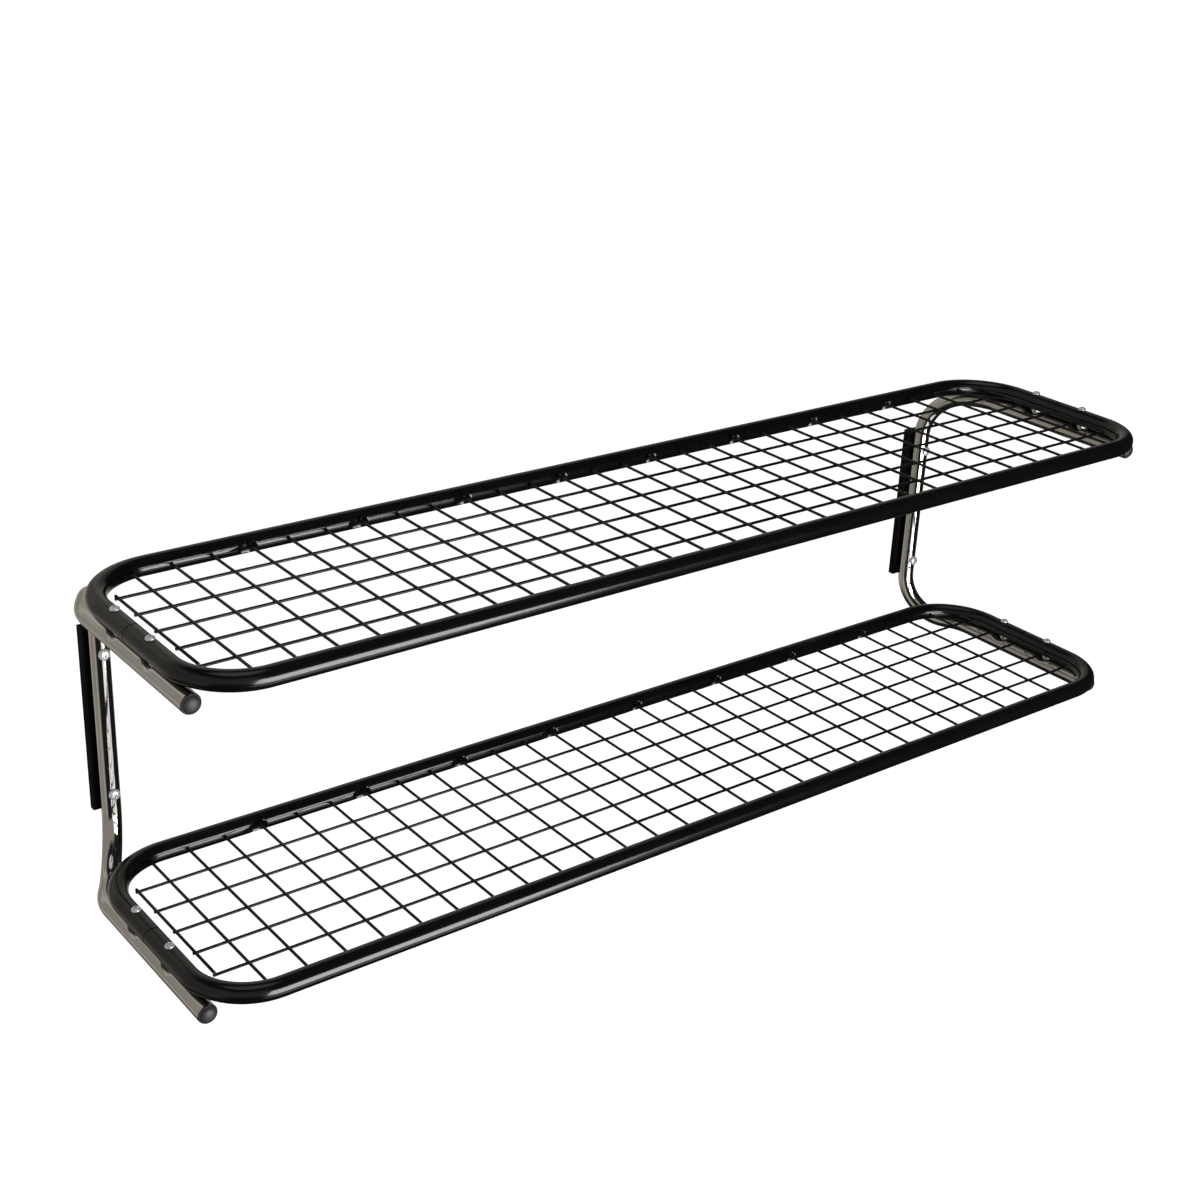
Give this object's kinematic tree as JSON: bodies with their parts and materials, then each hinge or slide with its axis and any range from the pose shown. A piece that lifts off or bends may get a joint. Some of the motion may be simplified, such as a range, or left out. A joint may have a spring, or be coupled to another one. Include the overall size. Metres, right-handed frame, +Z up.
{
  "type": "wall-mounted shoe rack",
  "caption": "Long narrow wall rack: welded wire shelves in round black tube frames, one above the other, carried on the arms of chromed C-shaped tube brackets.",
  "frame": {"origin": "on the wall plane, midway between the two brackets and midway between the upper and the lower arms", "axes": "+X along the wall to the right seen from the room, +Y into the wall, so the rack reaches out to -Y, +Z up"},
  "size_m": [0.9994, 0.2757, 0.2867],
  "materials": {
    "gloss_black_lacquer": "glossy black lacquer on round steel tube",
    "black_coated_wire": "satin black coating on round steel wire",
    "polished_chrome": "polished chrome plate",
    "zinc_plate": "bright zinc-plated steel",
    "plain_steel": "plain steel, hidden",
    "black_plastic": "dull black plastic"
  },
  "bodies": {
    "root": {"upper_frame_rear": "gloss_black_lacquer", "upper_frame_front": "gloss_black_lacquer", "upper_wire_mesh": "black_coated_wire", "upper_left_splice": "plain_steel", "upper_right_splice": "plain_steel", "upper_left_rear_shelf_screw": "zinc_plate", "upper_left_front_shelf_screw": "zinc_plate", "upper_right_rear_shelf_screw": "zinc_plate", "upper_right_front_shelf_screw": "zinc_plate", "upper_left_end_cap": "black_plastic", "upper_right_end_cap": "black_plastic", "lower_frame_rear": "gloss_black_lacquer", "lower_frame_front": "gloss_black_lacquer", "lower_wire_mesh": "black_coated_wire", "lower_left_splice": "plain_steel", "lower_right_splice": "plain_steel", "lower_left_rear_shelf_screw": "zinc_plate", "lower_left_front_shelf_screw": "zinc_plate", "lower_right_rear_shelf_screw": "zinc_plate", "lower_right_front_shelf_screw": "zinc_plate", "lower_left_end_cap": "black_plastic", "lower_right_end_cap": "black_plastic", "left_bracket": "polished_chrome", "right_bracket": "polished_chrome", "left_wall_strip": "black_plastic", "right_wall_strip": "black_plastic", "left_upper_wall_screw": "zinc_plate", "left_lower_wall_screw": "zinc_plate", "right_upper_wall_screw": "zinc_plate", "right_lower_wall_screw": "zinc_plate"}
  },
  "joints": []
}
